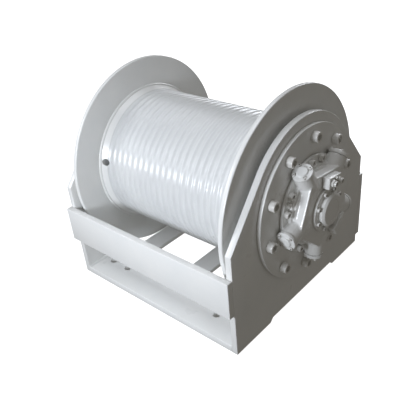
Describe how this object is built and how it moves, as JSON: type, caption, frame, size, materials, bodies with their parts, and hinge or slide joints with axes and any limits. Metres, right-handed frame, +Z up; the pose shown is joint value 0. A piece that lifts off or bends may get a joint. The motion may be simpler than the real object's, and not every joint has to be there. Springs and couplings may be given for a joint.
{
  "type": "hydraulic drum windlass",
  "caption": "Hydraulic anchor windlass: grooved rope drum between two side plates, driven through planetary gears by a radial piston motor, with a disc brake.",
  "frame": {"origin": "centre of the deck bolt patterns in the plane of the deck, below the middle of the drum axis", "axes": "+X along the drum axis towards the motor, -Y towards the anchor rope, +Z up from the deck"},
  "size_m": [0.6571, 0.572, 0.53],
  "materials": {
    "enamel": "gloss white two-coat paint over welded steel",
    "painted_fastener": "gloss white paint over steel, thin at the edges",
    "machined_steel": "ground and turned",
    "spring_steel": "oil blackened",
    "bronze": "turned",
    "friction_lining": "sintered, matte",
    "seal_rubber": "matte"
  },
  "bodies": {
    "frame": {"motor_side_plate": "enamel", "bearing_side_plate": "enamel", "front_cross_plate": "enamel", "rear_cross_plate": "enamel", "front_base_plate": "enamel", "rear_base_plate": "enamel", "base_bar_motor_side": "enamel", "base_bar_middle": "enamel", "base_bar_bearing_side": "enamel", "brake_housing": "enamel", "mounting_screws": "painted_fastener", "motor_casing": "enamel", "casing_screws": "painted_fastener", "cylinder_cover_1": "enamel", "cylinder_cover_2": "enamel", "cylinder_cover_3": "enamel", "cylinder_cover_4": "enamel", "cylinder_cover_5": "enamel", "cover_screws": "painted_fastener", "motor_pistons": "machined_steel", "valve_housing": "enamel", "valve_screws": "painted_fastener", "port_block": "enamel", "port_block_screws": "painted_fastener", "port_fittings": "painted_fastener", "counterbalance_valve": "enamel", "drain_plug": "painted_fastener", "crankshaft_bearings": "machined_steel", "carrier_inner_plate": "machined_steel", "carrier_outer_plate": "machined_steel", "planet_pins": "machined_steel", "carrier_screws": "spring_steel", "brake_steel_discs": "machined_steel", "brake_springs": "spring_steel", "bearing_spindle": "enamel", "spindle_cap": "enamel", "spindle_screws": "painted_fastener", "grease_nipple": "painted_fastener", "bearing_inner_rings": "machined_steel"},
    "drum": {"drum_barrel": "enamel", "drum_flange_motor_side": "enamel", "drum_flange_bearing_side": "enamel", "riser_ring_motor_side": "enamel", "riser_ring_bearing_side": "enamel", "drum_hub_motor_side": "enamel", "drum_hub_bearing_side": "enamel", "ring_gear": "machined_steel", "bearing_outer_rings": "machined_steel", "bearing_rollers": "machined_steel", "drum_seals": "seal_rubber", "rope_clamp": "machined_steel", "rope_clamp_screws": "machined_steel"},
    "input_shaft": {"crankshaft": "machined_steel", "sun_shaft": "machined_steel", "brake_friction_discs": "friction_lining", "valve_rotor": "bronze"},
    "planet_1": {"planet_gear_1": "machined_steel"},
    "planet_2": {"planet_gear_2": "machined_steel"},
    "planet_3": {"planet_gear_3": "machined_steel"},
    "brake_piston": {"brake_piston": "machined_steel"}
  },
  "joints": [
    {"name": "drum_spin", "type": "hinge", "parent": "frame", "child": "drum", "pos_m": [0, 0, 0.268], "axis": [1, 0, 0], "continuous": true},
    {"name": "input_spin", "type": "hinge", "parent": "frame", "child": "input_shaft", "pos_m": [0.3, 0, 0.268], "axis": [1, 0, 0], "continuous": true},
    {"name": "planet_1_spin", "type": "hinge", "parent": "frame", "child": "planet_1", "pos_m": [0.117, 0.09, 0.268], "axis": [1, 0, 0], "continuous": true},
    {"name": "planet_2_spin", "type": "hinge", "parent": "frame", "child": "planet_2", "pos_m": [0.117, -0.045, 0.34594], "axis": [1, 0, 0], "continuous": true},
    {"name": "planet_3_spin", "type": "hinge", "parent": "frame", "child": "planet_3", "pos_m": [0.117, -0.045, 0.19006], "axis": [1, 0, 0], "continuous": true},
    {"name": "brake_release", "type": "slide", "parent": "frame", "child": "brake_piston", "axis": [1, 0, 0], "range_m": [0, 0.002], "stiffness_N_per_m": 20000}
  ],
  "couplings": [
    {"joint": "input_spin", "follows": "drum_spin", "ratio": -4},
    {"joint": "planet_1_spin", "follows": "drum_spin", "ratio": 2.6667},
    {"joint": "planet_2_spin", "follows": "drum_spin", "ratio": 2.6667},
    {"joint": "planet_3_spin", "follows": "drum_spin", "ratio": 2.6667}
  ]
}
